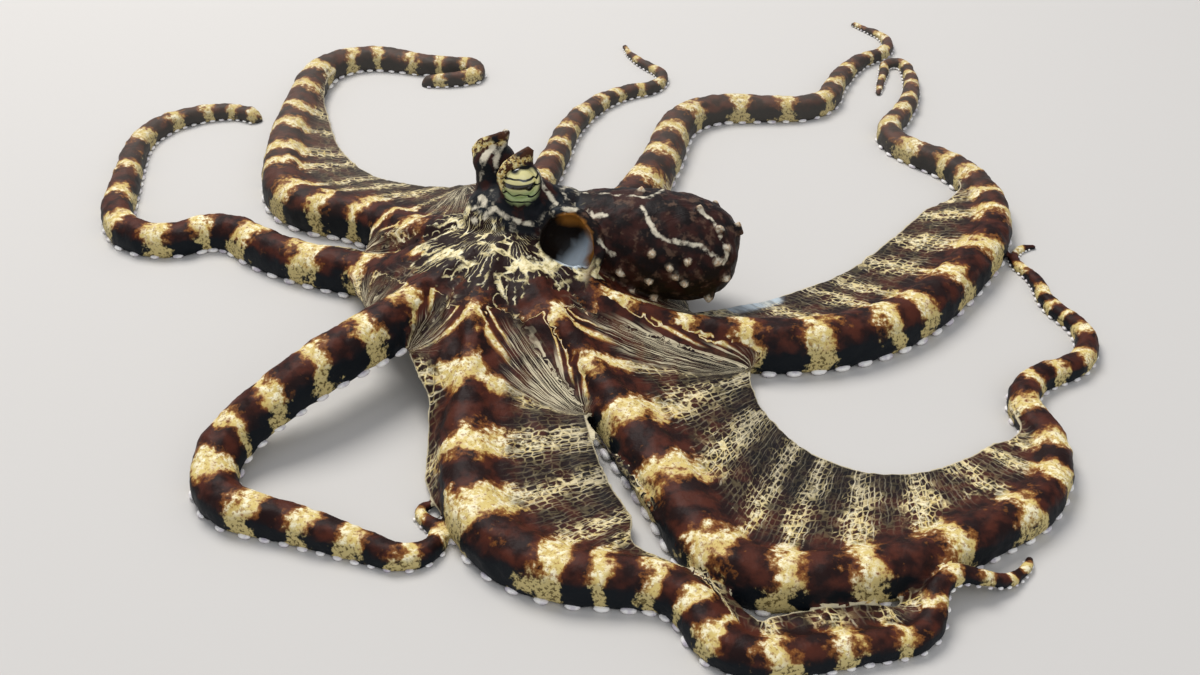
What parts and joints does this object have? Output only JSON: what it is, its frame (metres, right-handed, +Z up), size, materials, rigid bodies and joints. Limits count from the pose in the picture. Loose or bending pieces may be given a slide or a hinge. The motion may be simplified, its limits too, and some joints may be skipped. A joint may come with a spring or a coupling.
{
  "type": "mimic octopus",
  "caption": "Still life-size mimic octopus resting on the sea floor, webbed arms spread and curling at the tips, with stalked eyes and a trailing mantle.",
  "frame": {"origin": "middle of the footprint, on the floor that the arms lie on", "axes": "+Z up; +X the way the mantle trails, so the head looks towards -X; +Y across the animal, towards its right side"},
  "size_m": [0.2826, 0.3284, 0.0467],
  "materials": {
    "skin": "wet skin, dark brown and cream bands",
    "mantle_skin": "wet skin, near black with reddish blotches and white lines",
    "eye": "wet, cream and black striped bulb"
  },
  "bodies": {
    "root": {"eye_left": "eye", "horn_left": "skin", "eye_right": "eye", "horn_right": "skin", "mantle": "mantle_skin", "head": "skin", "turret_left": "skin", "turret_right": "skin", "arm_l1_base": "skin", "arm_l1_middle": "skin", "arm_l1_tip": "skin", "arm_l2_base": "skin", "arm_l2_middle": "skin", "arm_l2_tip": "skin", "arm_l3_base": "skin", "arm_l3_middle": "skin", "arm_l3_outer": "skin", "arm_l3_tip": "skin", "arm_l4_base": "skin", "arm_l4_middle": "skin", "arm_l4_outer": "skin", "arm_l4_tip": "skin", "arm_r4_base": "skin", "arm_r4_middle": "skin", "arm_r4_tip": "skin", "arm_r3_base": "skin", "arm_r3_tip": "skin", "arm_r2_base": "skin", "arm_r2_middle": "skin", "arm_r2_tip": "skin", "arm_r1_base": "skin", "arm_r1_middle": "skin", "arm_r1_tip": "skin", "crown": "skin", "web_r1_l1": "skin", "web_l1_l2": "skin", "web_l2_l3": "skin", "web_l3_l4": "skin", "web_l4_r4": "skin", "web_r4_r3": "skin", "web_r3_r2": "skin", "web_r2_r1": "skin", "fin_l2_left": "skin", "fin_l2_right": "skin", "fin_l3_left_a": "skin", "fin_l3_left_b": "skin", "fin_l4_left_a": "skin", "fin_l4_left_b": "skin", "fin_r4_right": "skin", "fin_r2_right_a": "skin", "fin_r2_right_b": "skin", "fin_r1_right": "skin"}
  },
  "joints": []
}
